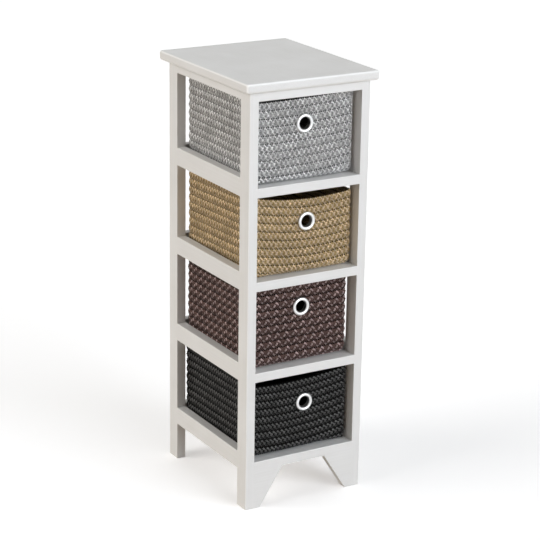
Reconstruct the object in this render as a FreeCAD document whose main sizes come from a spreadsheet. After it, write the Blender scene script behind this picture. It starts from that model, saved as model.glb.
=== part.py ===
import FreeCAD, Part
import os

import Sketcher

# Slim bathroom storage unit: a white-lacquered wooden ladder frame with an overhanging top and four bays.
# Each bay holds a braided basket that slides out like a drawer, pulled by a metal eyelet in its front wall.
# Millimetres. +Z is up, the front faces -Y, and the origin is on the floor under the middle of the top.

SIZES = {
    # the top and the overhang of its edges past the frame
    "unit_height": 800.0,
    "top_width": 272.0,
    "top_depth": 330.0,
    "top_thickness": 17.5,
    "top_corner_radius": 6.0,
    "top_edge_radius": 4.5,
    "top_under_radius": 5.0,
    "side_overhang": 13.0,
    "front_overhang": 12.0,
    "rear_overhang": 17.0,
    # posts and rails
    "post_width": 17.5,
    "post_depth": 32.0,
    "rail_depth": 17.5,
    "front_rail_height": 17.5,
    "side_rail_height": 34.0,
    "side_rail_drop": 1.7,
    "eased_edge": 1.2,
    # lowest bay: its floor, and the front feet left by the slanted cut-out
    "bottom_shelf_level": 92.0,
    "foot_width": 30.5,
    "foot_root_width": 78.0,
    # thin shelf panels and how far they enter the rails
    "shelf_thickness": 4.0,
    "shelf_housing": 5.0,
    "shelf_clearance": 0.3,
    # dowels between rails and posts
    "dowel_radius": 3.0,
    "dowel_length": 24.0,
    "dowel_in_post": 11.0,
    "dowel_spacing": 16.0,
    "dowel_clearance": 0.1,
    "dowel_end_gap": 0.5,
    # screws up through the top side rails into the top
    "screw_spread": 120.0,
    "screw_head_radius": 4.0,
    "screw_head_height": 3.0,
    "screw_shank_radius": 2.0,
    "screw_in_top": 8.0,
    "screw_clearance": 0.2,
    # baskets, by the room that they leave in their bays
    "basket_side_gap": 2.0,
    "basket_setback": 21.0,
    "basket_rear_gap": 1.5,
    "basket_lift": 0.3,
    "basket_wall": 6.0,
    "basket_base": 6.0,
    "basket_front_corner_radius": 12.0,
    "basket_rear_corner_radius": 26.0,
    "basket_base_round": 9.0,
    "basket_rim_round": 2.5,
    "grey_head_gap": 6.0,
    "natural_head_gap": 10.1,
    "brown_head_gap": 7.2,
    "black_head_gap": 14.4,
    "grey_bulge": 6.0,
    "natural_bulge": 7.0,
    "brown_bulge": 4.0,
    "black_bulge": 5.0,
    # grooves where one turn of the braid is sewn to the next
    "seam_radius": 1.5,
    "seam_depth": 1.0,
    # eyelets, by their drop below the rim and their offset to the right of the front's middle
    "grey_eyelet_drop": 45.4,
    "natural_eyelet_drop": 48.8,
    "brown_eyelet_drop": 40.6,
    "black_eyelet_drop": 48.1,
    "grey_eyelet_offset": -3.2,
    "natural_eyelet_offset": 4.2,
    "brown_eyelet_offset": -1.9,
    "black_eyelet_offset": 8.0,
    "eyelet_bore_radius": 10.9,
    "eyelet_flange_radius": 17.3,
    "eyelet_crown": 2.8,
    "eyelet_metal": 0.8,
    "eyelet_lip": 2.2,
    "eyelet_clearance": 0.3,
    "washer_radius": 16.0,
    "washer_thickness": 1.0,
    # how far a cut reaches past the face that it leaves
    "cut_overrun": 2.0,
}
BAYS = 4
BASKETS = ("black", "brown", "natural", "grey")
BRAID_ROWS = 9
APRON_DOWEL_SHARES = (0.3, 0.75)
# edges whose heights agree this closely count as level
LEVEL_TOLERANCE = 0.1
# how a sketch numbers the points of its curves, its origin and its upright axis
FIRST_POINT, LAST_POINT, MIDDLE_POINT = 1, 2, 3
ORIGIN, ORIGIN_POINT, UPRIGHT_AXIS = -1, 1, -2

doc = FreeCAD.newDocument("basket_unit")
dim = doc.addObject("Spreadsheet::Sheet", "dim")
for row, (alias, size) in enumerate(SIZES.items(), start=1):
    dim.set(f"A{row}", alias)
    dim.set(f"B{row}", str(size))
    dim.setAlias(f"B{row}", alias)
doc.recompute()

# Lengths and places that follow from the sizes, as expressions on the sheet.
UNDERSIDE = "(dim.unit_height - dim.top_thickness)"
FRAME_WIDTH = "(dim.top_width - 2 * dim.side_overhang)"
FRAME_DEPTH = "(dim.top_depth - dim.front_overhang - dim.rear_overhang)"
FRONT_FACE = "(dim.front_overhang - dim.top_depth / 2)"
REAR_FACE = "(dim.top_depth / 2 - dim.rear_overhang)"
MIDDLE = f"(({FRONT_FACE} + {REAR_FACE}) / 2)"
BAY_WIDTH = f"({FRAME_WIDTH} - 2 * dim.post_width)"
SIDE_RAIL_LENGTH = f"({FRAME_DEPTH} - 2 * dim.post_depth)"
BAY_PITCH = f"(({UNDERSIDE} - dim.bottom_shelf_level) / {BAYS})"
TOP_RAIL_FOOT = f"({UNDERSIDE} - dim.front_rail_height)"
SIDE_SHELF_TOP = "(dim.front_rail_height + dim.side_rail_drop)"
DOWEL_HOLE_RADIUS = "(dim.dowel_radius + dim.dowel_clearance)"
DOWEL_IN_RAIL = "(dim.dowel_length - dim.dowel_in_post)"
SINGLE_DOWEL = ("dim.front_rail_height / 2",)
DOUBLE_DOWEL = (
    "(dim.side_rail_height - dim.dowel_spacing) / 2",
    "(dim.side_rail_height + dim.dowel_spacing) / 2",
)
APRON_DOWELS = tuple(f"dim.bottom_shelf_level * {share}" for share in APRON_DOWEL_SHARES)

parts = []


def shelf_level(bay):
    """Height of a bay's floor, counted from the lowest bay."""
    return f"(dim.bottom_shelf_level + {bay} * {BAY_PITCH})"


def front_rail_foot(bay):
    """Height of the underside of the front rail at a bay's floor."""
    return f"({shelf_level(bay)} - dim.front_rail_height)"


def side_rail_foot(bay):
    """Height of the underside of the side and rear rails, a little lower than the front rail's."""
    return f"({shelf_level(bay)} - {SIDE_SHELF_TOP})"


def value(expression):
    return float(dim.evalExpression(str(expression)))


def place(piece, x, y, z, turn=0):
    """Puts a piece at a place given by expressions, turned about the vertical."""
    upright = FreeCAD.Vector(0, 0, 1)
    piece.Placement = FreeCAD.Placement(FreeCAD.Vector(), FreeCAD.Rotation(upright, turn))
    for axis, expression in zip("xyz", (x, y, z)):
        piece.setExpression(f"Placement.Base.{axis}", str(expression))


def new_body(label):
    body = doc.addObject("PartDesign::Body", label)
    body.Label = label
    parts.append(body)
    return body


def origin_feature(body, role):
    return next(feature for feature in body.Origin.OriginFeatures if feature.Role == role)


def new_sketch(body, name, plane, offset=None):
    """A sketch on one of the body's origin planes, moved along that plane's normal."""
    sketch = body.newObject("Sketcher::SketchObject", f"{body.Label}_{name}")
    sketch.AttachmentSupport = [(origin_feature(body, plane), "")]
    sketch.MapMode = "FlatFace"
    if offset is not None:
        sketch.setExpression("AttachmentOffset.Base.z", offset)
    return sketch


def bind(sketch, constraint, expression):
    index = sketch.addConstraint(constraint)
    sketch.setExpression(f"Constraints[{index}]", str(expression))


def pin_point(sketch, geometry, point, x, y):
    """Ties a point of a sketch to a place given by expressions."""
    bind(sketch, Sketcher.Constraint("DistanceX", ORIGIN, ORIGIN_POINT, geometry, point, value(x)), x)
    bind(sketch, Sketcher.Constraint("DistanceY", ORIGIN, ORIGIN_POINT, geometry, point, value(y)), y)


def draw_outline(sketch, corners):
    """A closed outline, anticlockwise, through corners (x, y) or rounded square corners (x, y, radius)."""
    spots = [FreeCAD.Vector(value(corner[0]), value(corner[1]), 0) for corner in corners]
    ends = []
    for index, corner in enumerate(corners):
        x, y = corner[:2]
        if len(corner) == 2:
            ends.append([(x, y)])
            continue
        back = (spots[index - 1] - spots[index]).normalize()
        ahead = (spots[(index + 1) % len(spots)] - spots[index]).normalize()
        ends.append([
            (f"({x}) + {round(way.x)} * {corner[2]}", f"({y}) + {round(way.y)} * {corner[2]}")
            for way in (back, ahead)
        ])
    lines = []
    for index, leave in enumerate(ends):
        arrive = ends[(index + 1) % len(ends)]
        start, finish = [FreeCAD.Vector(value(x), value(y), 0) for x, y in (leave[-1], arrive[0])]
        lines.append(sketch.addGeometry(Part.LineSegment(start, finish), False))
        pin_point(sketch, lines[-1], FIRST_POINT, *leave[-1])
    for index, corner in enumerate(corners):
        before, after = lines[index - 1], lines[index]
        if len(corner) == 2:
            sketch.addConstraint(Sketcher.Constraint("Coincident", before, LAST_POINT, after, FIRST_POINT))
            continue
        pin_point(sketch, before, LAST_POINT, *ends[index][0])
        start, finish = [FreeCAD.Vector(value(x), value(y), 0) for x, y in ends[index]]
        centre = start + finish - spots[index]
        middle = centre + (spots[index] - centre).normalize() * value(corner[2])
        arc = sketch.addGeometry(Part.Arc(start, middle, finish), False)
        sketch.addConstraint(Sketcher.Constraint("Coincident", before, LAST_POINT, arc, FIRST_POINT))
        sketch.addConstraint(Sketcher.Constraint("Coincident", arc, LAST_POINT, after, FIRST_POINT))
        bind(sketch, Sketcher.Constraint("Radius", arc, value(corner[2])), corner[2])


def draw_circles(sketch, centres, radius):
    for x, y in centres:
        middle = FreeCAD.Vector(value(x), value(y), 0)
        upright = FreeCAD.Vector(0, 0, 1)
        circle = sketch.addGeometry(Part.Circle(middle, upright, value(radius)), False)
        pin_point(sketch, circle, MIDDLE_POINT, x, y)
        bind(sketch, Sketcher.Constraint("Radius", circle, value(radius)), radius)


def pad(body, sketch, length, both_ways=False, flip=False):
    feature = body.newObject("PartDesign::Pad", f"{sketch.Name}_pad")
    feature.Profile = sketch
    feature.SideType = "Symmetric" if both_ways else "One side"
    feature.Reversed = flip
    feature.setExpression("Length", str(length))
    doc.recompute()
    return feature


def pocket(body, sketch, depth, flip=False):
    """Cuts a sketch into the body, and makes sure that the cut took wood away."""
    before = body.Shape.Volume
    feature = body.newObject("PartDesign::Pocket", f"{sketch.Name}_cut")
    feature.Profile = sketch
    feature.Reversed = flip
    feature.setExpression("Length", str(depth))
    doc.recompute()
    if not feature.Shape.Volume < before:
        raise RuntimeError(f"{feature.Name} cuts nothing")
    return feature


def mirror(body, feature, plane):
    copy = body.newObject("PartDesign::Mirrored", f"{feature.Name}_mirror")
    copy.Originals = [feature]
    copy.MirrorPlane = (origin_feature(body, plane), [""])
    body.Tip = copy
    doc.recompute()


def round_edges(body, name, radius, chosen):
    """Rounds the edges of the body that the test picks out."""
    base = body.Tip
    feature = body.newObject("PartDesign::Fillet", f"{body.Label}_{name}")
    edges = [f"Edge{n}" for n, edge in enumerate(base.Shape.Edges, start=1) if chosen(edge.BoundBox)]
    feature.Base = (base, edges)
    feature.setExpression("Radius", radius)
    doc.recompute()


def flat_at(height):
    """Picks the edges that lie flat at a height."""
    return lambda box: max(abs(box.ZMin - height), abs(box.ZMax - height)) < LEVEL_TOLERANCE


def top_panel():
    """Thick board with rounded rims and blind holes for the screws that hold it down."""
    body = new_body("top_panel")
    sketch = new_sketch(body, "outline", "XY_Plane")
    half_width, half_depth = "dim.top_width / 2", "dim.top_depth / 2"
    radius = "dim.top_corner_radius"
    draw_outline(sketch, [
        (f"-{half_width}", f"-{half_depth}", radius),
        (half_width, f"-{half_depth}", radius),
        (half_width, half_depth, radius),
        (f"-{half_width}", half_depth, radius),
    ])
    pad(body, sketch, "dim.top_thickness")
    round_edges(body, "rim", "dim.top_edge_radius", flat_at(value("dim.top_thickness")))
    round_edges(body, "under_rim", "dim.top_under_radius", flat_at(0))
    holes = new_sketch(body, "screw_holes", "XY_Plane")
    draw_circles(holes, screw_places(), "dim.screw_shank_radius + dim.screw_clearance")
    pocket(body, holes, "dim.screw_in_top + dim.screw_clearance", flip=True)
    place(body, 0, 0, UNDERSIDE)


def screw_places():
    """Plan places of the four screws, two along each top side rail."""
    across = f"({FRAME_WIDTH} - dim.post_width) / 2"
    return [
        (f"{side} * {across}", f"{MIDDLE} + {end} * dim.screw_spread / 2")
        for side in (-1, 1)
        for end in (-1, 1)
    ]


def post(label, side, end):
    """Upright with an eased outer corner and blind dowel holes on its two inner faces."""
    body = new_body(label)
    sketch = new_sketch(body, "section", "XY_Plane")
    corners = [
        [0, 0],
        ["dim.post_width", 0],
        ["dim.post_width", "dim.post_depth"],
        [0, "dim.post_depth"],
    ]
    outer = {("left", "front"): 0, ("right", "front"): 1, ("right", "rear"): 2, ("left", "rear"): 3}
    corners[outer[side, end]].append("dim.eased_edge")
    draw_outline(sketch, corners)
    pad(body, sketch, UNDERSIDE)

    side_heights = [f"{side_rail_foot(bay)} + {dowel}" for bay in range(BAYS) for dowel in DOUBLE_DOWEL]
    side_heights += [f"{TOP_RAIL_FOOT} + {dowel}" for dowel in SINGLE_DOWEL]
    front = end == "front"
    sketch = new_sketch(body, "side_rail_holes", "XZ_Plane", "-dim.post_depth" if front else None)
    draw_circles(sketch, [("dim.post_width / 2", height) for height in side_heights], DOWEL_HOLE_RADIUS)
    pocket(body, sketch, "dim.dowel_in_post + dim.dowel_end_gap", flip=front)

    if front:
        cross_heights = list(APRON_DOWELS)
        low = [front_rail_foot(bay) for bay in range(1, BAYS)] + [TOP_RAIL_FOOT]
        cross_heights += [f"{foot} + {dowel}" for foot in low for dowel in SINGLE_DOWEL]
        depth = "dim.rail_depth / 2"
    else:
        cross_heights = side_heights
        depth = "dim.post_depth - dim.rail_depth / 2"
    left = side == "left"
    sketch = new_sketch(body, "cross_rail_holes", "YZ_Plane", "dim.post_width" if left else None)
    draw_circles(sketch, [(depth, height) for height in cross_heights], DOWEL_HOLE_RADIUS)
    pocket(body, sketch, "dim.dowel_in_post + dim.dowel_end_gap", flip=not left)

    x = f"-{FRAME_WIDTH} / 2" if left else f"{FRAME_WIDTH} / 2 - dim.post_width"
    y = FRONT_FACE if front else f"{REAR_FACE} - dim.post_depth"
    place(body, x, y, 0)


def rail(label, length, height, thickness, dowels, spot, turn, housing=None, shelf_top=None, screwed=False):
    """Rail along its own X, outer face at y = 0. Its housing takes the edge of a shelf panel, whose upper
    face lies at the height shelf_top in the rail."""
    body = new_body(label)
    sketch = new_sketch(body, "section", "YZ_Plane")
    corners = [(0, 0, "dim.eased_edge"), (thickness, 0)]
    if housing:
        shelf_foot = f"{shelf_top} - dim.shelf_thickness"
        inner = f"{thickness} - dim.shelf_housing"
        corners += [(thickness, shelf_foot), (inner, shelf_foot)]
    if housing == "groove":
        groove_top = f"{shelf_top} + dim.shelf_clearance"
        corners += [(inner, groove_top), (thickness, groove_top)]
    corners += [(inner if housing == "rebate" else thickness, height)]
    corners += [(0, height, "dim.eased_edge")]
    draw_outline(sketch, corners)
    pad(body, sketch, length, both_ways=True)

    holes = new_sketch(body, "dowel_holes", "YZ_Plane", f"{length} / 2")
    draw_circles(holes, [(f"{thickness} / 2", dowel) for dowel in dowels], DOWEL_HOLE_RADIUS)
    mirror(body, pocket(body, holes, f"{DOWEL_IN_RAIL} + dim.dowel_end_gap"), "YZ_Plane")

    if screwed:
        places = [(f"{end} * dim.screw_spread / 2", f"{thickness} / 2") for end in (-1, 1)]
        sketch = new_sketch(body, "screw_holes", "XY_Plane")
        draw_circles(sketch, places, "dim.screw_shank_radius + dim.screw_clearance")
        pocket(body, sketch, height, flip=True)
        sketch = new_sketch(body, "screw_heads", "XY_Plane")
        draw_circles(sketch, places, "dim.screw_head_radius + dim.screw_clearance")
        pocket(body, sketch, "dim.screw_head_height", flip=True)
    place(body, *spot, turn)


def side_rails():
    """Five rungs a side; the lower four stand above their shelf as guides for the basket."""
    for side, sign, turn in (("left", -1, -90), ("right", 1, 90)):
        x = f"{sign} * {FRAME_WIDTH} / 2"
        for bay in range(BAYS):
            rail(f"{side}_side_rail_{bay + 1}", SIDE_RAIL_LENGTH, "dim.side_rail_height", "dim.post_width",
                 DOUBLE_DOWEL, (x, MIDDLE, side_rail_foot(bay)), turn, "groove", SIDE_SHELF_TOP)
        rail(f"{side}_top_rail", SIDE_RAIL_LENGTH, "dim.front_rail_height", "dim.post_width",
             SINGLE_DOWEL, (x, MIDDLE, TOP_RAIL_FOOT), turn, screwed=True)


def front_rails():
    """Low rails that the baskets slide out over; the lowest of the row is the foot rail."""
    for bay in range(1, BAYS):
        rail(f"front_rail_{bay + 1}", BAY_WIDTH, "dim.front_rail_height", "dim.rail_depth",
             SINGLE_DOWEL, (0, FRONT_FACE, front_rail_foot(bay)), 0, "rebate", "dim.front_rail_height")
    rail("front_top_rail", BAY_WIDTH, "dim.front_rail_height", "dim.rail_depth",
         SINGLE_DOWEL, (0, FRONT_FACE, TOP_RAIL_FOOT), 0)


def rear_rails():
    """Rails that stand above their shelf and stop the basket at the back."""
    half_turn = 180
    for bay in range(BAYS):
        rail(f"rear_rail_{bay + 1}", BAY_WIDTH, "dim.side_rail_height", "dim.rail_depth",
             DOUBLE_DOWEL, (0, REAR_FACE, side_rail_foot(bay)), half_turn, "groove", SIDE_SHELF_TOP)
    rail("rear_top_rail", BAY_WIDTH, "dim.front_rail_height", "dim.rail_depth",
         SINGLE_DOWEL, (0, REAR_FACE, TOP_RAIL_FOOT), half_turn)


def front_foot_rail():
    """Lowest front rail: a board down to the floor with a slanted cut-out that leaves tapered feet."""
    body = new_body("front_foot_rail")
    half, level = f"{BAY_WIDTH} / 2", "dim.bottom_shelf_level"
    toe = f"{FRAME_WIDTH} / 2 - dim.foot_width"
    root = f"{FRAME_WIDTH} / 2 - dim.foot_root_width"
    arch = f"{level} - dim.front_rail_height"
    sketch = new_sketch(body, "outline", "XZ_Plane")
    draw_outline(sketch, [
        (f"-{half}", 0),
        (f"-({toe})", 0),
        (f"-({root})", arch),
        (root, arch),
        (toe, 0),
        (half, 0),
        (half, level),
        (f"-{half}", level),
    ])
    pad(body, sketch, "dim.rail_depth", flip=True)
    ease = value("dim.eased_edge")

    def front_top(box):
        return box.YMax < ease / 2 and box.ZMin > value(level) - ease / 2

    round_edges(body, "front_edge", "dim.eased_edge", front_top)

    sketch = new_sketch(body, "rebate", "YZ_Plane", f"-{half}")
    inner, foot = "dim.rail_depth - dim.shelf_housing", f"{level} - dim.shelf_thickness"
    draw_outline(sketch, [(inner, foot), ("dim.rail_depth", foot), ("dim.rail_depth", level), (inner, level)])
    pocket(body, sketch, BAY_WIDTH, flip=True)

    sketch = new_sketch(body, "dowel_holes", "YZ_Plane", half)
    draw_circles(sketch, [("dim.rail_depth / 2", height) for height in APRON_DOWELS], DOWEL_HOLE_RADIUS)
    mirror(body, pocket(body, sketch, f"{DOWEL_IN_RAIL} + dim.dowel_end_gap"), "YZ_Plane")
    place(body, 0, FRONT_FACE, 0)


def shelf_panel(bay):
    """Thin board housed in the rails on all four sides, notched round the posts."""
    body = new_body(f"shelf_panel_{bay + 1}")
    front_edge = "(dim.rail_depth - dim.shelf_housing + dim.shelf_clearance)"
    narrow = f"{BAY_WIDTH} / 2 - dim.shelf_clearance"
    wide = f"{BAY_WIDTH} / 2 + dim.shelf_housing - dim.shelf_clearance"
    front_notch = "dim.post_depth + dim.shelf_clearance"
    rear_notch = f"{FRAME_DEPTH} - dim.post_depth - dim.shelf_clearance"
    rear_edge = f"{FRAME_DEPTH} - dim.rail_depth + dim.shelf_housing - dim.shelf_clearance"
    right = [
        (narrow, front_edge),
        (narrow, front_notch),
        (wide, front_notch),
        (wide, rear_notch),
        (narrow, rear_notch),
        (narrow, rear_edge),
    ]
    left = [(f"-({x})", y) for x, y in reversed(right)]
    sketch = new_sketch(body, "outline", "XY_Plane")
    draw_outline(sketch, right + left)
    pad(body, sketch, "dim.shelf_thickness")
    place(body, 0, FRONT_FACE, f"{shelf_level(bay)} - dim.shelf_thickness")


def fastener_group(label, pieces):
    group = doc.addObject("Part::Compound", label)
    group.Label = label
    group.Links = pieces
    parts.append(group)


def pin(name, radius, length, spot, axis):
    """A straight round pin that starts at a spot and runs along an axis."""
    cylinder = doc.addObject("Part::Cylinder", name)
    cylinder.setExpression("Radius", radius)
    cylinder.setExpression("Height", length)
    turn = FreeCAD.Rotation(FreeCAD.Vector(0, 0, 1), axis)
    cylinder.Placement = FreeCAD.Placement(FreeCAD.Vector(), turn)
    for letter, expression in zip("xyz", spot):
        cylinder.setExpression(f"Placement.Base.{letter}", str(expression))
    return cylinder


def rail_dowels():
    """Glued dowels: two in each tall rail end, one in each low rail end, two in each end of the foot rail."""
    tall = [f"{side_rail_foot(bay)} + {dowel}" for bay in range(BAYS) for dowel in DOUBLE_DOWEL]
    low = [f"{front_rail_foot(bay)} + {dowel}" for bay in range(1, BAYS) for dowel in SINGLE_DOWEL]
    top = [f"{TOP_RAIL_FOOT} + {dowel}" for dowel in SINGLE_DOWEL]

    across = f"({FRAME_WIDTH} - dim.post_width) / 2"
    ends = (
        (f"{FRONT_FACE} + dim.post_depth - dim.dowel_in_post", 1),
        (f"{REAR_FACE} - dim.post_depth + dim.dowel_in_post", -1),
    )
    fastener_group("side_rail_dowels", [
        pin("side_rail_dowel", "dim.dowel_radius", "dim.dowel_length",
            (f"{side} * {across}", start, height), FreeCAD.Vector(0, way, 0))
        for side in (-1, 1)
        for start, way in ends
        for height in tall + top
    ])
    reach = f"({BAY_WIDTH} / 2 + dim.dowel_in_post)"
    rows = (
        ("front_rail_dowels", f"{FRONT_FACE} + dim.rail_depth / 2", list(APRON_DOWELS) + low + top),
        ("rear_rail_dowels", f"{REAR_FACE} - dim.rail_depth / 2", tall + top),
    )
    for label, y, heights in rows:
        fastener_group(label, [
            pin(label[:-1], "dim.dowel_radius", "dim.dowel_length",
                (f"{side} * {reach}", y, height), FreeCAD.Vector(-side, 0, 0))
            for side in (-1, 1)
            for height in heights
        ])


def top_screws():
    """Cheese-head screws, their heads sunk in the top side rails, their points in the top panel."""
    screws = []
    up = FreeCAD.Vector(0, 0, 1)
    shank_length = "dim.front_rail_height - dim.screw_head_height + dim.screw_in_top"
    for x, y in screw_places():
        head = pin("screw_head", "dim.screw_head_radius", "dim.screw_head_height", (x, y, TOP_RAIL_FOOT), up)
        neck = (x, y, f"{TOP_RAIL_FOOT} + dim.screw_head_height")
        shank = pin("screw_shank", "dim.screw_shank_radius", shank_length, neck, up)
        screw = doc.addObject("Part::Fuse", "top_screw")
        screw.Base, screw.Tool = head, shank
        screws.append(screw)
    fastener_group("top_screws", screws)


BASKET_WIDTH = f"({BAY_WIDTH} - 2 * dim.basket_side_gap)"
BASKET_DEPTH = f"({FRAME_DEPTH} - dim.rail_depth - dim.basket_rear_gap - dim.basket_setback)"
BASKET_FRONT = f"({FRONT_FACE} + dim.basket_setback)"
BARREL_RADIUS = "(dim.eyelet_bore_radius + dim.eyelet_metal)"


def bulge_radius(colour):
    """Radius of the shallow arc that a front wall bulges out to between its two sides."""
    return f"((({BASKET_WIDTH} / 2)^2 + dim.{colour}_bulge^2) / (2 * dim.{colour}_bulge))"


def basket_height(colour):
    return f"({BAY_PITCH} - dim.front_rail_height - dim.basket_lift - dim.{colour}_head_gap)"


def eyelet_rise(colour):
    """Height of the eyelet's middle above the basket's underside."""
    return f"({basket_height(colour)} - dim.{colour}_eyelet_drop)"


def draw_basket_outline(sketch, colour, inset):
    """Plan of a basket wall: straight sides and back, rounded corners, a front that bulges out."""
    side = f"({BASKET_WIDTH} / 2 - {inset})"
    back = f"({BASKET_DEPTH} - {inset})"
    corner = f"(dim.basket_front_corner_radius - {inset})"
    rear_corner = f"(dim.basket_rear_corner_radius - {inset})"
    front = f"({bulge_radius(colour)} - {inset})"
    front_centre = f"({bulge_radius(colour)} - dim.{colour}_bulge)"
    side_x, back_y, sweep, sweep_y = [value(size) for size in (side, back, front, front_centre)]
    bend, rear_bend = value(corner), value(rear_corner)
    bend_x, rear_bend_x, rear_bend_y = side_x - bend, side_x - rear_bend, back_y - rear_bend
    front_bend_y = sweep_y - ((sweep - bend) ** 2 - bend_x ** 2) ** 0.5
    point = FreeCAD.Vector
    sweep_centre, bend_centre = point(0, sweep_y), point(bend_x, front_bend_y)
    outward = (bend_centre - sweep_centre).normalize()
    # where the front corner's arc runs into the bulging front, and the middle of that corner
    meet = sweep_centre + outward * sweep
    turn = bend_centre + (point(1, 0) + outward).normalize() * bend
    rear_turn = point(rear_bend_x, rear_bend_y) + point(1, 1).normalize() * rear_bend

    def flipped(spot):
        return point(-spot.x, spot.y)

    def line(start, finish):
        return sketch.addGeometry(Part.LineSegment(start, finish), False)

    def arc(start, middle, finish):
        return sketch.addGeometry(Part.Arc(start, middle, finish), False)

    side_front, side_rear = point(side_x, front_bend_y), point(side_x, rear_bend_y)
    back_side = point(rear_bend_x, back_y)
    right = line(side_front, side_rear)
    rear_right = arc(side_rear, rear_turn, back_side)
    rear = line(back_side, flipped(back_side))
    rear_left = arc(flipped(back_side), flipped(rear_turn), flipped(side_rear))
    left = line(flipped(side_rear), flipped(side_front))
    front_left = arc(flipped(side_front), flipped(turn), flipped(meet))
    bulge = arc(flipped(meet), point(0, sweep_y - sweep), meet)
    front_right = arc(meet, turn, side_front)

    loop = [right, rear_right, rear, rear_left, left, front_left, bulge, front_right]
    for before, after in zip(loop, loop[1:] + loop[:1]):
        sketch.addConstraint(Sketcher.Constraint("Tangent", before, LAST_POINT, after, FIRST_POINT))
    sketch.addConstraint(Sketcher.Constraint("Vertical", right))
    sketch.addConstraint(Sketcher.Constraint("Vertical", left))
    sketch.addConstraint(Sketcher.Constraint("Horizontal", rear))
    sketch.addConstraint(Sketcher.Constraint("PointOnObject", bulge, MIDDLE_POINT, UPRIGHT_AXIS))
    sketch.addConstraint(Sketcher.Constraint("Equal", rear_right, rear_left))
    sketch.addConstraint(Sketcher.Constraint("Equal", front_right, front_left))
    origin = (ORIGIN, ORIGIN_POINT)
    bind(sketch, Sketcher.Constraint("Radius", rear_right, rear_bend), rear_corner)
    bind(sketch, Sketcher.Constraint("Radius", front_right, bend), corner)
    bind(sketch, Sketcher.Constraint("Radius", bulge, sweep), front)
    bind(sketch, Sketcher.Constraint("DistanceX", *origin, right, FIRST_POINT, side_x), side)
    bind(sketch, Sketcher.Constraint("DistanceX", left, FIRST_POINT, *origin, side_x), side)
    bind(sketch, Sketcher.Constraint("DistanceY", *origin, rear, FIRST_POINT, back_y), back)
    bind(sketch, Sketcher.Constraint("DistanceY", *origin, bulge, MIDDLE_POINT, sweep_y), front_centre)


def braid_seams(body, colour):
    """Shallow grooves round the outside, one where each turn of the braid is sewn to the next."""
    pitch = f"({basket_height(colour)} / {BRAID_ROWS})"
    inset = "(dim.seam_depth - dim.seam_radius)"
    path = new_sketch(body, "seam_path", "XY_Plane", pitch)
    draw_basket_outline(path, colour, inset)
    section = new_sketch(body, "seam_section", "YZ_Plane")
    draw_circles(section, [(f"{inset} - dim.{colour}_bulge", pitch)], "dim.seam_radius")
    before = body.Shape.Volume
    seam = body.newObject("PartDesign::SubtractivePipe", f"{body.Label}_seam")
    seam.Profile = section
    seam.Spine = path
    doc.recompute()
    rows = body.newObject("PartDesign::LinearPattern", f"{body.Label}_seams")
    rows.Originals = [seam]
    rows.Direction = (origin_feature(body, "Z_Axis"), [""])
    rows.Occurrences = BRAID_ROWS - 1
    rows.setExpression("Length", f"{pitch} * ({BRAID_ROWS} - 2)")
    body.Tip = rows
    doc.recompute()
    if not body.Shape.Volume < before:
        raise RuntimeError(f"{rows.Name} cuts nothing")


def basket(colour, bay):
    """Open basket of sewn braid, with a round hole through its front wall for the eyelet."""
    body = new_body(f"{colour}_basket")
    height = basket_height(colour)
    sketch = new_sketch(body, "outer_wall", "XY_Plane")
    draw_basket_outline(sketch, colour, 0)
    pad(body, sketch, height)
    round_edges(body, "foot", "dim.basket_base_round", flat_at(0))
    sketch = new_sketch(body, "inner_wall", "XY_Plane", "dim.basket_base")
    draw_basket_outline(sketch, colour, "dim.basket_wall")
    pocket(body, sketch, f"{height} - dim.basket_base + dim.cut_overrun", flip=True)
    inner_round = "dim.basket_base_round - dim.basket_wall"
    round_edges(body, "inner_foot", inner_round, flat_at(value("dim.basket_base")))
    round_edges(body, "rim", "dim.basket_rim_round", flat_at(value(height)))
    braid_seams(body, colour)
    sketch = new_sketch(body, "eyelet_hole", "XZ_Plane", f"dim.{colour}_bulge + dim.cut_overrun")
    middle = (f"dim.{colour}_eyelet_offset", eyelet_rise(colour))
    draw_circles(sketch, [middle], f"{BARREL_RADIUS} + dim.eyelet_clearance")
    pocket(body, sketch, "dim.basket_wall + 2 * dim.cut_overrun")
    place(body, 0, BASKET_FRONT, f"{shelf_level(bay)} + dim.basket_lift")


def washer_seat(colour):
    """Depth of the washer behind the wall's front, past the sag of the curved wall across the washer."""
    inner = f"({bulge_radius(colour)} - dim.basket_wall)"
    reach = f"(dim.washer_radius + abs(dim.{colour}_eyelet_offset))"
    return f"(dim.basket_wall + {inner} - sqrt({inner}^2 - {reach}^2))"


def turned_ring(label, corners, colour, bay, crown=None):
    """A ring turned about the eyelet's axis, from a section in radius and depth behind the wall's front."""
    body = new_body(label)
    sketch = new_sketch(body, "section", "XY_Plane")
    if crown is None:
        draw_outline(sketch, corners)
    else:
        draw_crowned_outline(sketch, corners, crown)
    ring = body.newObject("PartDesign::Revolution", f"{label}_turning")
    ring.Profile = sketch
    ring.ReferenceAxis = (sketch, ["V_Axis"])
    full_turn = 360.0
    ring.Angle = full_turn
    doc.recompute()
    height = f"{shelf_level(bay)} + dim.basket_lift + {eyelet_rise(colour)}"
    place(body, f"dim.{colour}_eyelet_offset", f"{BASKET_FRONT} - dim.{colour}_bulge", height)


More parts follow.
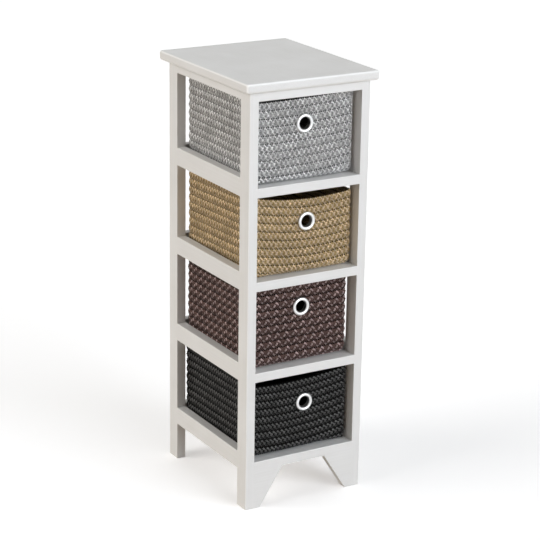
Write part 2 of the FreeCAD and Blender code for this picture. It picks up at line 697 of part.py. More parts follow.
def draw_crowned_outline(sketch, corners, crown):
    """Straight runs through the corners, closed by an arc whose top stands a crown's height in front."""
    spots = [FreeCAD.Vector(value(x), value(y), 0) for x, y in corners]
    lines = [
        sketch.addGeometry(Part.LineSegment(start, finish), False)
        for start, finish in zip(spots, spots[1:])
    ]
    for line, (x, y) in zip(lines, corners):
        pin_point(sketch, line, FIRST_POINT, x, y)
    pin_point(sketch, lines[-1], LAST_POINT, *corners[-1])
    for before, after in zip(lines, lines[1:]):
        sketch.addConstraint(Sketcher.Constraint("Coincident", before, LAST_POINT, after, FIRST_POINT))
    chord = (spots[0] - spots[-1]).Length
    rise = value(crown)
    top = (spots[0] + spots[-1]) / 2 - FreeCAD.Vector(0, rise, 0)
    arc = sketch.addGeometry(Part.Arc(spots[-1], top, spots[0]), False)
    sketch.addConstraint(Sketcher.Constraint("Coincident", lines[-1], LAST_POINT, arc, FIRST_POINT))
    sketch.addConstraint(Sketcher.Constraint("Coincident", arc, LAST_POINT, lines[0], FIRST_POINT))
    half = "((dim.eyelet_flange_radius - dim.eyelet_bore_radius) / 2)"
    radius = f"({half}^2 + {crown}^2) / (2 * {crown})"
    bind(sketch, Sketcher.Constraint("Radius", arc, (chord ** 2 / 4 + rise ** 2) / (2 * rise)), radius)


def eyelet(colour, bay):
    """Flanged barrel pressed through the front wall, its end turned over the washer inside."""
    bore, flange = "dim.eyelet_bore_radius", "dim.eyelet_flange_radius"
    lip = f"{BARREL_RADIUS} + dim.eyelet_lip"
    lip_face = f"({washer_seat(colour)} + dim.washer_thickness)"
    lip_end = f"{lip_face} + dim.eyelet_metal"
    turned_ring(f"{colour}_eyelet", [
        (flange, 0),
        (BARREL_RADIUS, 0),
        (BARREL_RADIUS, lip_face),
        (lip, lip_face),
        (lip, lip_end),
        (bore, lip_end),
        (bore, 0),
    ], colour, bay, crown="dim.eyelet_crown")

    seat = washer_seat(colour)
    hole, rim = f"{BARREL_RADIUS} + dim.eyelet_clearance", "dim.washer_radius"
    back = f"{seat} + dim.washer_thickness"
    section = [(hole, seat), (rim, seat), (rim, back), (hole, back)]
    turned_ring(f"{colour}_eyelet_washer", section, colour, bay)


top_panel()
for end in ("front", "rear"):
    for side in ("left", "right"):
        post(f"{end}_{side}_post", side, end)
side_rails()
front_foot_rail()
front_rails()
rear_rails()
for bay, colour in enumerate(BASKETS):
    shelf_panel(bay)
    basket(colour, bay)
    eyelet(colour, bay)
rail_dowels()
top_screws()
doc.recompute()

for thing in doc.Objects:
    if {"Invalid", "Error"} & set(thing.State):
        raise RuntimeError(f"{thing.Label} did not build: {thing.State}")
os.makedirs("parts", exist_ok=True)
for part in parts:
    if part.Shape.isNull() or not part.Shape.isValid():
        raise RuntimeError(f"{part.Label} has no valid shape")
    part.Shape.exportStep(os.path.join("parts", f"{part.Label}.step"))
    print(f"{part.Label}: {len(part.Shape.Solids)} solid(s), {part.Shape.Volume:.0f} cubic mm")
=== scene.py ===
import math
import random

import bpy
from mathutils import Matrix, Vector


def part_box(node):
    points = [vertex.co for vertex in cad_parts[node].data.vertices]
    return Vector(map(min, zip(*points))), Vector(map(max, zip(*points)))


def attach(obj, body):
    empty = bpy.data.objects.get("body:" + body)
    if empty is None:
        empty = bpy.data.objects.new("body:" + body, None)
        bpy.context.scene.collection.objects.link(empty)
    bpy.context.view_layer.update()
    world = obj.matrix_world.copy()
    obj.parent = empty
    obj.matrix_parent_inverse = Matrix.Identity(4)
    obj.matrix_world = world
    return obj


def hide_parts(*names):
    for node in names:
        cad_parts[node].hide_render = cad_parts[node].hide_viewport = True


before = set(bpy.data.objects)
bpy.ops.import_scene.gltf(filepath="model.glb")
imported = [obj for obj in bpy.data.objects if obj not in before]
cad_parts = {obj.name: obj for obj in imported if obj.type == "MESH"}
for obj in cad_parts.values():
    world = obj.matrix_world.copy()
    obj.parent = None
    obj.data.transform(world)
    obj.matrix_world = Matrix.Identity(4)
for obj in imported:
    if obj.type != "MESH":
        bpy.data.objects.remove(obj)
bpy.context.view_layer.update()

# Frame of posts, rails, shelf boards and top.
# Planed softwood, glued and dowelled together, then sprayed as one with white satin lacquer,
# through which the grain of each piece still shows faintly along its length. Rounded edges and slanted cuts
# get a painted highlight, a lighter colour where the surface turns between faces.
LACQUER_WHITE = (0.80, 0.80, 0.795, 1.0)
LACQUER_SHADE = (0.765, 0.763, 0.752, 1.0)
LACQUER_PAINTED_HIGHLIGHT = (0.95, 0.95, 0.94, 1.0)
LACQUER_ROUGHNESS = (0.36, 0.50)
GRAIN_ACROSS = 420.0
GRAIN_ALONG = 9.0
GRAIN_DEPTH = 0.00012
GRAIN_SHADE_RANGE = (0.12, 0.40)
LACQUER_CLOUD_SCALE = 14.0
SPRAY_SCALE = 900.0
SPRAY_DEPTH = 0.00003
FLAT_TO_PAINTED_HIGHLIGHT = (0.98, 0.80)
NOISE_MIDDLE = (0.33, 0.67)


def add_node(tree, kind, inputs=None, **settings):
    """A node with its settings, whose inputs are set to values or linked to other nodes' outputs."""
    made = tree.nodes.new(kind)
    for name, setting in settings.items():
        setattr(made, name, setting)
    for name, source in (inputs or {}).items():
        if isinstance(source, bpy.types.NodeSocket):
            tree.links.new(source, made.inputs[name])
        else:
            made.inputs[name].default_value = source
    return made


def new_finish(name):
    """An empty node material, and its tree with the principled shader that the finish is built on."""
    finish = bpy.data.materials.new(name)
    finish.use_nodes = True
    return finish, finish.node_tree, finish.node_tree.nodes["Principled BSDF"]


def maths(tree, operation, first, second=0.0):
    """One step of arithmetic with numbers."""
    return add_node(tree, "ShaderNodeMath", {0: first, 1: second}, operation=operation).outputs[0]


def noise(tree, place, scale, detail):
    """A cloudy noise, of about one half on average."""
    return add_node(tree, "ShaderNodeTexNoise", {
        "Vector": place, "Scale": scale, "Detail": detail}).outputs[0]


def mapped(tree, value, start, end, low=0.0, high=1.0):
    """Carries the range from start to end over to that from low to high, and goes no further."""
    return add_node(tree, "ShaderNodeMapRange", {0: value, 1: start, 2: end, 3: low, 4: high}).outputs[0]


def spread(tree, value, low, high):
    """Carries the middle range of a noise over to a new range."""
    return mapped(tree, value, *NOISE_MIDDLE, low, high)


def blended(tree, share, first, second):
    """A colour between two others."""
    return add_node(tree, "ShaderNodeMix", {0: share, 6: first, 7: second}, data_type="RGBA").outputs[2]


def lacquer(name, grain_scale):
    """White satin lacquer over wood whose grain runs the way in which its scale is small, with a painted
    highlight on rounded edges.
    """
    finish, tree, shader = new_finish(name)
    surface = add_node(tree, "ShaderNodeTexCoord").outputs
    place = surface["Object"]
    stretched = add_node(tree, "ShaderNodeMapping", {"Vector": place, "Scale": grain_scale}).outputs[0]
    grain = noise(tree, stretched, scale=1.0, detail=3.0)
    spray = noise(tree, place, SPRAY_SCALE, detail=1.0)
    cloud = noise(tree, place, LACQUER_CLOUD_SCALE, detail=2.0)
    shade = mapped(tree, maths(tree, "MULTIPLY", grain, cloud), *GRAIN_SHADE_RANGE)
    colour = blended(tree, shade, LACQUER_WHITE, LACQUER_SHADE)
    # Painted highlight: where the surface turns between faces, on rounded edges and slanted cuts, the
    # colour goes lighter.
    sides = add_node(tree, "ShaderNodeVectorMath", {0: surface["Normal"]}, operation="ABSOLUTE").outputs[0]
    sides = add_node(tree, "ShaderNodeSeparateXYZ", {0: sides}).outputs
    flatness = maths(tree, "MAXIMUM", maths(tree, "MAXIMUM", sides["X"], sides["Y"]), sides["Z"])
    colour = blended(tree, mapped(tree, flatness, *FLAT_TO_PAINTED_HIGHLIGHT), colour, LACQUER_PAINTED_HIGHLIGHT)
    tree.links.new(colour, shader.inputs["Base Color"])
    tree.links.new(spread(tree, cloud, *LACQUER_ROUGHNESS), shader.inputs["Roughness"])
    fine = add_node(tree, "ShaderNodeBump", {"Height": spray, "Distance": SPRAY_DEPTH, "Strength": 1.0})
    bump = add_node(tree, "ShaderNodeBump", {
        "Height": grain, "Distance": GRAIN_DEPTH, "Strength": 1.0, "Normal": fine.outputs[0]})
    tree.links.new(bump.outputs[0], shader.inputs["Normal"])
    return finish


def repaint(node, finish):
    """Gives a piece that keeps its CAD shape a new finish."""
    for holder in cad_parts[node].material_slots:
        holder.material = finish


lacquer_across = lacquer("lacquer_grain_across", (GRAIN_ALONG, GRAIN_ACROSS, GRAIN_ACROSS))
lacquer_deep = lacquer("lacquer_grain_deep", (GRAIN_ACROSS, GRAIN_ALONG, GRAIN_ACROSS))
lacquer_upright = lacquer("lacquer_grain_upright", (GRAIN_ACROSS, GRAIN_ACROSS, GRAIN_ALONG))
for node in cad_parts:
    if node.endswith("_post"):
        repaint(node, lacquer_upright)
    elif node.startswith(("left_", "right_", "shelf_panel", "top_panel")):
        repaint(node, lacquer_deep)
    elif node.startswith(("front_", "rear_")) and "rail" in node:
        repaint(node, lacquer_across)

# Dowels and top screws.
# Beech dowels glued blind into rails and posts, and four zinc-plated screws up into the top.
# They show only where the frame is taken apart.
DOWEL_LIGHT = (0.62, 0.43, 0.25, 1.0)
DOWEL_DARK = (0.45, 0.29, 0.15, 1.0)
DOWEL_FLECK_SCALE = 700.0
DOWEL_ROUGHNESS = 0.65
SCREW_ZINC = (0.62, 0.62, 0.60, 1.0)
ZINC_MOTTLE_SCALE = 900.0
ZINC_ROUGHNESS = (0.28, 0.45)


def dowel_wood():
    """Bare beech with fine flecks."""
    finish, tree, shader = new_finish("dowel_beech")
    place = add_node(tree, "ShaderNodeTexCoord").outputs["Object"]
    fleck = spread(tree, noise(tree, place, DOWEL_FLECK_SCALE, detail=4.0), 0.0, 1.0)
    tree.links.new(blended(tree, fleck, DOWEL_LIGHT, DOWEL_DARK), shader.inputs["Base Color"])
    shader.inputs["Roughness"].default_value = DOWEL_ROUGHNESS
    return finish


def plated(name, metal, roughness, mottle_scale, detail):
    """Plated metal whose shine is a little uneven."""
    finish, tree, shader = new_finish(name)
    place = add_node(tree, "ShaderNodeTexCoord").outputs["Object"]
    mottle = noise(tree, place, mottle_scale, detail)
    tree.links.new(spread(tree, mottle, *roughness), shader.inputs["Roughness"])
    shader.inputs["Base Color"].default_value = metal
    shader.inputs["Metallic"].default_value = 1.0
    return finish


beech = dowel_wood()
for node in ("side_rail_dowels", "front_rail_dowels", "rear_rail_dowels"):
    repaint(node, beech)
zinc = plated("screw_zinc", SCREW_ZINC, ZINC_ROUGHNESS, ZINC_MOTTLE_SCALE, detail=3.0)
repaint("top_screws", zinc)

# Baskets of sewn braid, one colour to a bay.
# A flat tape, plaited from four strands over a thin lining, is coiled and sewn edge to edge: from the
# middle of the base, over the rounded foot and up the walls, where its rows wander, to a tapered end.
# The lining's dark colour is painted shade: the shadow in the gaps between the strands.
BASKET_SHAPES = {
    # First come a row's height, the rim and the shift against the solid, and the corners and the front's
    # ends. Then the lowest spot of the front's rows and how they climb from it, the plait, and last the
    # painted light and shade across a row.
    "black": {
        "row": 0.0150, "rim": -0.0050, "sideways": 0.0010, "corners": (0.008, 0.013),
        "recess": (-0.0020, 0.0015), "low_spot": -0.040, "front_climb": (0.0040, 0.0125),
        "left_climb": (0.0072, 0.0130), "foot_share": 1.0, "period": 0.0180,
        "light_every": 2, "fold": 0.76, "strand": 0.0034, "rising": 0.25, "painted_row_shade": (0.30, 1.70),
    },
    "brown": {
        "row": 0.01475, "rim": 0.0041, "sideways": -0.0008, "corners": (0.013, 0.026),
        "recess": (-0.0010, 0.0040), "low_spot": -0.050, "front_climb": (0.0010, 0.0015),
        "left_climb": (0.0118, 0.0175), "foot_share": 0.3, "period": 0.0185,
        "light_every": 4, "fold": 0.82, "strand": 0.0036, "rising": 0.18, "painted_row_shade": (0.55, 1.55),
    },
    "natural": {
        "row": 0.0152, "rim": -0.0083, "sideways": 0.0005, "corners": (0.009, 0.026),
        "recess": (0.0020, 0.0030), "low_spot": 0.020, "front_climb": (0.0150, 0.0050),
        "left_climb": (0.0065, 0.0170), "foot_share": 0.7, "period": 0.0196,
        "light_every": 2, "fold": 0.90, "strand": 0.0032, "rising": 0.3, "painted_row_shade": (0.75, 1.20),
    },
    "grey": {
        "row": 0.0150, "rim": -0.0015, "sideways": 0.0000, "corners": (0.010, 0.026),
        "recess": (-0.0010, 0.0040), "low_spot": -0.075, "front_climb": (0.0010, 0.0055),
        "left_climb": (0.0142, 0.0138), "foot_share": 1.9, "period": 0.0195,
        "light_every": 2, "fold": 0.92, "strand": 0.0032, "rising": 0.3, "painted_row_shade": (0.80, 1.15),
    },
}
WALL = 0.006
FOOT_ROUND = 0.010
RIM_PROUD = 0.0045
RIM_SHARE = 0.75
CLIMB_SETTLE = 0.060
TIGHTEST_BEND = 0.005
ROW_JITTER = 0.0003
ROW_BELLY = 0.0016
ROW_TILT = 0.75
TAPER_SHARE = 0.35
RUN_STEPS = 16
BEND_STEPS = 8
SIDE_STEPS = RUN_STEPS + BEND_STEPS
TURN_STEPS = 4 * SIDE_STEPS


def plan_spot(step, half_width, front, rear, front_corner, rear_corner):
    """A step of the way round a rounded rectangle, anticlockwise from the left end of its front."""
    corners = (
        (half_width - front_corner, front + front_corner, front_corner, 270.0),
        (half_width - rear_corner, rear - rear_corner, rear_corner, 0.0),
        (-half_width + rear_corner, rear - rear_corner, rear_corner, 90.0),
        (-half_width + front_corner, front + front_corner, front_corner, 180.0),
    )

    def on_bend(corner, share):
        x, y, radius, start = corners[corner]
        turn = math.radians(start + 90.0 * share)
        return Vector((x + radius * math.cos(turn), y + radius * math.sin(turn), 0.0))

    corner, part = divmod(step, SIDE_STEPS)
    if part < RUN_STEPS:
        return on_bend(corner - 1, 1.0).lerp(on_bend(corner, 0.0), part / RUN_STEPS)
    return on_bend(corner, (part - RUN_STEPS) / BEND_STEPS)


def down_the_wall(distance, rim):
    """Inset, height and lean of the braid's middle layer, at a distance from the rim down and under."""
    wall_run = rim - FOOT_ROUND
    radius = FOOT_ROUND - WALL / 2
    bend_run = radius * math.pi / 2
    if distance < wall_run:
        return WALL / 2, rim - distance, 0.0
    if distance < wall_run + bend_run:
        lean = (distance - wall_run) / radius
        return FOOT_ROUND - radius * math.cos(lean), FOOT_ROUND - radius * math.sin(lean), lean
    return FOOT_ROUND + distance - wall_run - bend_run, WALL / 2, math.pi / 2


def between(stations, step):
    """The value at a step of the turn, on straight lines between those given at a few steps."""
    for (start, low), (end, high) in zip(stations, stations[1:]):
        if step <= end:
            return low + (high - low) * (step - start) / (end - start)
    return stations[-1][1]


def turn_climbs(shape):
    """How far the tape and the rim have climbed at each step of a turn, from the front's lowest spot."""
    low_share = (shape["low_spot"] + shape["width"] / 2) / shape["width"]
    ahead = []
    for step in range(RUN_STEPS + 1):
        share = step / RUN_STEPS
        side, end = (1, 1.0) if share > low_share else (0, 0.0)
        ahead.append((step, shape["front_climb"][side] * ((share - low_share) / (end - low_share)) ** 2))
    first, last = ahead[0][1], ahead[-1][1]
    rear_left, front_left = shape["left_climb"]
    left_end = TURN_STEPS - BEND_STEPS
    tape = ahead + [(3 * SIDE_STEPS, rear_left), (left_end, front_left), (TURN_STEPS, first + shape["row"])]
    behind = max(first, last)
    rim = ahead + [(SIDE_STEPS + RUN_STEPS // 2, behind), (left_end, behind), (TURN_STEPS, first)]
    rim = [(step, climb * RIM_SHARE) for step, climb in rim]
    steps = range(TURN_STEPS)
    return [between(tape, step) for step in steps], [between(rim, step) for step in steps]


def coil_seams(shape):
    """Distances from the rim down to the coil's seam, turn by turn from the base's middle to the rim."""
    half_width, height, row = shape["width"] / 2, shape["height"], shape["row"]
    whole_run = height - 2 * FOOT_ROUND + (FOOT_ROUND - WALL / 2) * math.pi / 2 + half_width
    climbs, rims = turn_climbs(shape)
    seam = []
    for turn in range(math.ceil(whole_run / row) + 1, -1, -1):
        down = turn * row
        if down < height:
            share = 1.0 + (shape["foot_share"] - 1.0) * down / height
        else:
            share = shape["foot_share"] * max(0.0, 1.0 - (down - height) / CLIMB_SETTLE)
        for step in range(TURN_STEPS):
            wound = row * step / TURN_STEPS
            distance = down - wound - (climbs[step] - wound) * share
            seam.append(min(max(distance, -rims[step], shape["rim"] - RIM_PROUD), whole_run))
    return seam


def braid_line(shape, distances, prouds):
    """A line round and round the basket, by its distances from the rim, with the ways out of the wall."""
    half_width, front, rear = shape["width"] / 2, shape["front"], shape["rear"]
    spots, levels, leans = [], [], []
    for step, (distance, proud) in enumerate(zip(distances, prouds)):
        inset, level, lean = down_the_wall(distance, shape["height"])
        inset -= proud * math.cos(lean)
        half = half_width - inset
        bends = [min(max(corner - inset, TIGHTEST_BEND), half) for corner in shape["corners"]]
        spot = plan_spot(step % TURN_STEPS, half, front + inset, rear - inset, *bends)
        recess = shape["recess"][int(spot.x > 0)] * (spot.x / half_width) ** 2
        spot.y += recess * (rear - spot.y) / (rear - front)
        spot.x += shape["sideways"]
        spots.append(spot)
        levels.append(level + proud * math.sin(lean))
        leans.append(lean)
    up = Vector((0.0, 0.0, 1.0))
    places, outs = [], []
    for step, spot in enumerate(spots):
        along = spots[min(step + 1, len(spots) - 1)] - spots[max(step - 1, 0)]
        outward = Vector((along.y, -along.x, 0.0)).normalized()
        places.append(spot + up * (shape["foot"] + levels[step]))
        outs.append(outward * math.cos(leans[step]) - up * math.sin(leans[step]))
    return places, outs


def coil_guides(colour):
    """A sheet over a basket's coil: its seam, and the tape's middle line, whose marked edges carry the ways
    out of the wall, across the tape, round its belly and how it turns to face up or down."""
    low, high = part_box(f"{colour}_basket")
    shape = BASKET_SHAPES[colour] | {"width": high.x - low.x, "front": low.y, "rear": high.y, "foot": low.z}
    shape["height"] = high.z - low.z + shape["rim"]
    seam = coil_seams(shape)
    count = len(seam) - TURN_STEPS
    jitter = random.Random(colour)
    nudges = []
    for turn in range(count // TURN_STEPS + 1):
        nudges.append((turn * TURN_STEPS, jitter.uniform(-ROW_JITTER, ROW_JITTER)))
    middle = [(seam[step] + seam[step + TURN_STEPS]) / 2 for step in range(count)]
    widths = [seam[step] - seam[step + TURN_STEPS] for step in range(count)]
    edge_places, edge_outs = braid_line(shape, seam, [-ROW_BELLY] * len(seam))
    places, outs = braid_line(shape, middle, [between(nudges, step) for step in range(count)])
    faces = []
    for step in range(count - 1):
        if max(widths[step], widths[step + 1]) > 0.0:
            ahead, lower, upper = step + 1, count + step, count + step + TURN_STEPS
            faces += [(lower, lower + 1, ahead, step), (step, ahead, upper + 1, upper)]
    still = [Vector((0.0, 0.0, 0.0))] * len(seam)
    lifts, bends, turns = [], [], []
    for step in range(count):
        above, below = step + TURN_STEPS, step
        lift = (edge_places[above] - edge_places[below]) / 2
        lifts.append(lift)
        bends.append((edge_places[above] + edge_places[below]) / 2 - places[step])
        turns.append((edge_outs[above] - edge_outs[below]) / 2 + lift.normalized() * ROW_TILT)
    mesh = bpy.data.meshes.new(f"{colour}_coil_guides")
    mesh.from_pydata(places + edge_places, [], faces)
    for name, vectors in (("out", outs + edge_outs), ("lift", lifts + still), ("bend", bends + still),
                          ("turn", turns + still)):
        layer = mesh.attributes.new(name, "FLOAT_VECTOR", "POINT")
        layer.data.foreach_set("vector", [part for vector in vectors for part in vector])
    least = shape["row"] * TAPER_SHARE
    full = [width > least for width in widths] + [False] * len(seam)
    guides = [all(full[end] for end in edge.vertices) for edge in mesh.edges]
    mesh.attributes.new("guide", "BOOLEAN", "EDGE").data.foreach_set("value", guides)
    in_row = [0.5] * count + [0.0] * len(seam)
    lengths = [step * shape["width"] / RUN_STEPS for step in range(count)]
    for name, values in (("across", in_row), ("along", lengths + lengths + [0.0] * TURN_STEPS)):
        mesh.attributes.new(name, "FLOAT", "POINT").data.foreach_set("value", values)
    return mesh


def mixed(tree, share, first, second):
    """A number between two others."""
    return add_node(tree, "ShaderNodeMix", {0: share, 2: first, 3: second}).outputs[0]


def scaled(tree, vector, factor):
    """A vector, or a colour, times a number."""
    return add_node(tree, "ShaderNodeVectorMath", {
        0: vector, "Scale": factor}, operation="SCALE").outputs[0]


def summed(tree, first, second):
    """The sum of two vectors."""
    return add_node(tree, "ShaderNodeVectorMath", {0: first, 1: second}, operation="ADD").outputs[0]


STRANDS = 4
STRAND_STEPS = 8
STRAND_THICKNESS = 0.0018
FOLD_SHARPNESS = 0.995
CROSSING_DEPTH = 0.0008
STRAND_STANDOFF = 0.0008
LINING_DEPTH = 0.0022
LINING_THICKNESS = 0.0018
INSIDE_LOT = 1.3
LINING_LOT = 2.0
WAVER = 0.0013
WAVER_SCALE = 90.0
NOISE_TO_ZERO = (-0.5, -0.5, -0.5)
FRONT_PLANE = (1.0, 0.0, 1.0)
EYELET_CUT_SHARE = 0.82


def braid_tree():
    """Plaits strands along the coil's middle line: each zigzags between the seams, over one and under the
    next, as a flat ribbon that faces the way the tape does there. The lining lies behind them."""
    tree = bpy.data.node_groups.new("plaited_coil", "GeometryNodeTree")
    for name, kind in (
        ("Guides", "Geometry"), ("Strands", "Int"), ("Light Every", "Int"), ("Strand Period", "Float"),
        ("Steps", "Int"), ("Strand Width", "Float"), ("Strand Thickness", "Float"), ("Fold Share", "Float"),
        ("Crossing Depth", "Float"), ("Rising Share", "Float"), ("Standoff", "Float"), ("Waver", "Float"),
        ("Lining Depth", "Float"), ("Lining Thickness", "Float"), ("Eyelet Middle", "Vector"),
        ("Eyelet Cut", "Float"), ("Braid", "Material"),
    ):
        tree.interface.new_socket(name, in_out="INPUT", socket_type=f"NodeSocket{kind}")
    tree.interface.new_socket("Plait", in_out="OUTPUT", socket_type="NodeSocketGeometry")
    sizes = add_node(tree, "NodeGroupInput").outputs

    def attribute(name, kind="FLOAT_VECTOR"):
        return add_node(tree, "GeometryNodeInputNamedAttribute", {"Name": name}, data_type=kind).outputs[0]

    def store(geometry, name, value):
        return add_node(tree, "GeometryNodeStoreNamedAttribute", {
            "Geometry": geometry, "Name": name, "Value": value},
            data_type="FLOAT", domain="POINT").outputs[0]

    def moved(geometry, offset, selection=True):
        return add_node(tree, "GeometryNodeSetPosition", {
            "Geometry": geometry, "Offset": offset, "Selection": selection}).outputs[0]

    def place():
        return add_node(tree, "GeometryNodeInputPosition").outputs[0]

    out, lift, bend, facing = attribute("out"), attribute("lift"), attribute("bend"), attribute("turn")

    # the strands
    guide = attribute("guide", "BOOLEAN")
    coil = add_node(tree, "GeometryNodeMeshToCurve", {
        "Mesh": sizes["Guides"], "Selection": guide}).outputs[0]
    laps = add_node(tree, "GeometryNodeDuplicateElements", {
        "Geometry": coil, "Amount": sizes["Strands"]}, domain="SPLINE").outputs
    strand = laps["Duplicate Index"]
    length = add_node(tree, "GeometryNodeSplineLength").outputs["Length"]
    turns = maths(tree, "ROUND", maths(tree, "DIVIDE", length, sizes["Strand Period"]))
    count = maths(tree, "MULTIPLY", turns, sizes["Steps"])
    fine = add_node(tree, "GeometryNodeResampleCurve", {
        "Curve": laps["Geometry"], "Count": count}).outputs[0]
    step = add_node(tree, "GeometryNodeSplineParameter").outputs
    turn = maths(tree, "DIVIDE", step["Index"], sizes["Steps"])
    turn = maths(tree, "ADD", turn, maths(tree, "DIVIDE", strand, sizes["Strands"]))
    phase = maths(tree, "MULTIPLY", turn, math.tau)
    zigzag = maths(tree, "ARCSINE", maths(tree, "MULTIPLY", maths(tree, "COSINE", phase), FOLD_SHARPNESS))
    zigzag = maths(tree, "DIVIDE", zigzag, math.asin(FOLD_SHARPNESS))
    share = maths(tree, "MULTIPLY", zigzag, sizes["Fold Share"])
    rising = maths(tree, "MULTIPLY", maths(tree, "SINE", phase), -1.0)
    crossings = maths(tree, "COSINE", maths(tree, "MULTIPLY", phase, sizes["Strands"]))
    woven = maths(tree, "MULTIPLY", crossings, rising)
    over = mixed(tree, sizes["Rising Share"], woven, rising)
    depth = maths(tree, "ADD", sizes["Standoff"], maths(tree, "MULTIPLY", over, sizes["Crossing Depth"]))
    wander = add_node(tree, "ShaderNodeTexNoise", {"Vector": place(), "Scale": WAVER_SCALE, "Detail": 2.0})
    wander = summed(tree, wander.outputs["Color"], NOISE_TO_ZERO)
    belly = scaled(tree, bend, maths(tree, "MULTIPLY", share, share))
    offset = summed(tree, summed(tree, scaled(tree, lift, share), belly), scaled(tree, out, depth))
    plaited = moved(fine, summed(tree, offset, scaled(tree, wander, sizes["Waver"])))
    plaited = store(plaited, "along", step["Length"])
    dark = maths(tree, "MINIMUM", maths(tree, "MODULO", strand, sizes["Light Every"]), 1.0)
    plaited = store(plaited, "strand", dark)
    plaited = store(plaited, "height", share)
    laid = add_node(tree, "GeometryNodeSetCurveNormal", {"Curve": plaited}, mode="FREE")
    tree.links.new(summed(tree, out, scaled(tree, facing, share)), laid.inputs["Normal"])
    diamond = add_node(tree, "GeometryNodeCurvePrimitiveCircle", {"Resolution": 4, "Radius": 0.5})
    spot = add_node(tree, "ShaderNodeSeparateXYZ", {0: place()}).outputs
    section = store(diamond.outputs["Curve"], "across", spot["X"])
    flat = add_node(tree, "ShaderNodeCombineXYZ", {
        "X": maths(tree, "MULTIPLY", maths(tree, "MULTIPLY", spot["Y"], sizes["Strand Thickness"]), -1.0),
        "Y": maths(tree, "MULTIPLY", spot["X"], sizes["Strand Width"])}).outputs[0]
    section = add_node(tree, "GeometryNodeSetPosition", {"Geometry": section, "Position": flat}).outputs[0]
    ribbon = add_node(tree, "GeometryNodeCurveToMesh", {
        "Curve": laid.outputs[0], "Profile Curve": section, "Fill Caps": True}).outputs[0]

    # the lining behind them
    inner = moved(sizes["Guides"], scaled(tree, out, maths(tree, "MULTIPLY", sizes["Lining Depth"], -1.0)))
    outer = add_node(tree, "GeometryNodeExtrudeMesh", {
        "Mesh": inner, "Offset": out, "Offset Scale": sizes["Lining Thickness"],
        "Individual": False}).outputs[0]
    outer = store(outer, "strand", LINING_LOT)
    inner = store(add_node(tree, "GeometryNodeFlipFaces", {"Mesh": inner}).outputs[0], "strand", INSIDE_LOT)
    joined = add_node(tree, "GeometryNodeJoinGeometry")
    for skin in (inner, outer, ribbon):
        tree.links.new(skin, joined.inputs[0])

    # the round hole that the eyelet's barrel passes through
    reach = add_node(tree, "ShaderNodeVectorMath", {
        0: place(), 1: sizes["Eyelet Middle"]}, operation="SUBTRACT").outputs[0]
    away = add_node(tree, "ShaderNodeVectorMath", {0: reach}, operation="LENGTH").outputs["Value"]
    within = add_node(tree, "FunctionNodeCompare", {
        0: away, 1: sizes["Eyelet Cut"]}, operation="LESS_THAN").outputs[0]
    holed = add_node(tree, "GeometryNodeDeleteGeometry", {
        "Geometry": joined.outputs[0], "Selection": within}, domain="FACE").outputs[0]
    short = maths(tree, "SUBTRACT", maths(tree, "DIVIDE", sizes["Eyelet Cut"], away), 1.0)
    sideways = add_node(tree, "ShaderNodeVectorMath", {
        0: reach, 1: FRONT_PLANE}, operation="MULTIPLY").outputs[0]
    holed = moved(holed, scaled(tree, sideways, short), within)
    smooth = add_node(tree, "GeometryNodeSetShadeSmooth", {"Geometry": holed}).outputs[0]
    for name in ("out", "lift", "bend", "turn", "guide"):
        smooth = add_node(tree, "GeometryNodeRemoveAttribute", {
            "Geometry": smooth, "Name": name}).outputs[0]
    whole = add_node(tree, "GeometryNodeRealizeInstances", {"Geometry": smooth}).outputs[0]
    dyed = add_node(tree, "GeometryNodeSetMaterial", {"Geometry": whole, "Material": sizes["Braid"]})
    add_node(tree, "NodeGroupOutput", {0: dyed.outputs[0]})
    return tree


def set_inputs(modifier, values):
    """Sets a modifier's inputs by the identifiers of the sockets that bear these names."""
    for item in modifier.node_group.interface.items_tree:
        if item.in_out == "INPUT" and item.name in values:
            modifier[item.identifier] = values[item.name]


def plain_mesh(holder, name):
    """The evaluated shape of an object with a modifier, as a new object with a plain mesh."""
    bpy.context.scene.collection.objects.link(holder)
    shape = holder.evaluated_get(bpy.context.evaluated_depsgraph_get())
    made = bpy.data.objects.new(name, bpy.data.meshes.new_from_object(shape))
    bpy.context.scene.collection.objects.link(made)
    bpy.data.objects.remove(holder)
    return made


# For each basket: its lighter strands, its darker strands, and its lining, whose dark colour is painted
# shade, the shadow in the gaps between the strands.
BRAID_TONES = {
    # The black's lighter strands stand for glints on strands that are all black: a painted highlight.
    "black": ((0.100, 0.100, 0.098, 1), (0.010, 0.010, 0.010, 1), (0.004, 0.004, 0.004, 1)),
    "brown": ((0.350, 0.268, 0.258, 1), (0.087, 0.055, 0.049, 1), (0.022, 0.013, 0.011, 1)),
    "natural": ((0.660, 0.530, 0.362, 1), (0.380, 0.266, 0.124, 1), (0.090, 0.056, 0.022, 1)),
    "grey": ((0.715, 0.715, 0.715, 1), (0.370, 0.370, 0.370, 1), (0.080, 0.080, 0.080, 1)),
}
CLOUD_RANGE = (0.72, 1.25)
CLOUD_ALONG = 60.0
CLOUD_ACROSS = 1.0
CLOUD_LOT = 90.0
FIBRE_RANGE = (0.60, 1.40)
FIBRE_ALONG = 260.0
FIBRE_ACROSS = 6.0
FIBRE_LOT = 50.0
PAINTED_ROW_SHADE_REACH = 0.8
SEAM_SHADE_SHARE = 0.13
SEAM_PAINTED_SHADE = 0.3
INSIDE_LIGHT = 0.6
CHEVRON_PERIOD = 0.0049
CHEVRON_SLANT = 16.0
CHEVRON_DARK = 0.5
CHEVRON_RELIEF = 3.0
RELIEF_DEPTH = 0.0003
RELIEF_STRENGTH = 0.8
BRAID_ROUGHNESS = (0.36, 0.56)
BRAID_SPECULAR = 0.06


